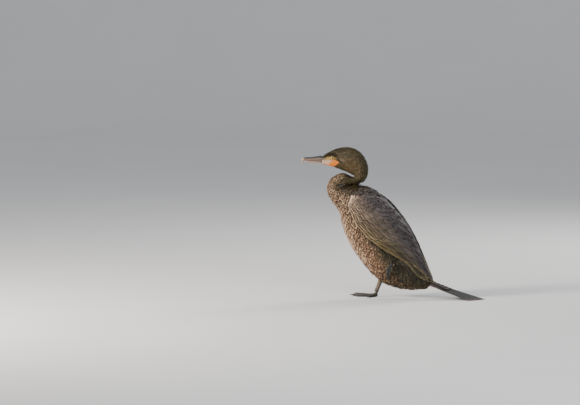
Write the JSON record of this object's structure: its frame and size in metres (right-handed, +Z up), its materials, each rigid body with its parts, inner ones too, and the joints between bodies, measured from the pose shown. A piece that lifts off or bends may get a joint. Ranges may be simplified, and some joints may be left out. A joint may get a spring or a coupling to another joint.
{
  "type": "great cormorant bird model",
  "caption": "Life-size still model of a brown immature cormorant standing on one foot, hooked bill, folded neck and wings, propped on its stiff tail.",
  "frame": {"origin": "centre of the model's bounding box on the floor that the foot and tail stand on", "axes": "+Z up, the bird faces -X, its left side faces -Y"},
  "size_m": [0.5224, 0.1388, 0.4195],
  "materials": {
    "plumage": "soft brown body feathers with pale edges",
    "wing": "grey-brown wing feathers with dark edges",
    "tail": "blackish stiff tail feathers",
    "bare_skin": "orange-yellow bare throat skin",
    "horn": "satin grey-pink bill, darker along the ridge",
    "eye": "wet glossy dark blue-green eye",
    "leg": "blackish scaled skin and webs",
    "claw": "dark smooth claw"
  },
  "bodies": {
    "root": {"head": "plumage", "gular_pouch": "bare_skin", "bill_upper": "horn", "bill_lower": "horn", "eye_left": "eye", "eye_right": "eye", "neck_upper": "plumage", "neck_lower": "plumage", "torso": "plumage", "wing_left": "wing", "wing_right": "wing", "tail": "tail", "leg_right": "leg", "foot_right": "leg", "leg_left": "leg", "foot_left": "leg", "claw_right_1": "claw", "claw_right_2": "claw", "claw_right_3": "claw", "claw_right_4": "claw", "claw_left_1": "claw", "claw_left_2": "claw", "claw_left_3": "claw", "claw_left_4": "claw"}
  },
  "joints": []
}
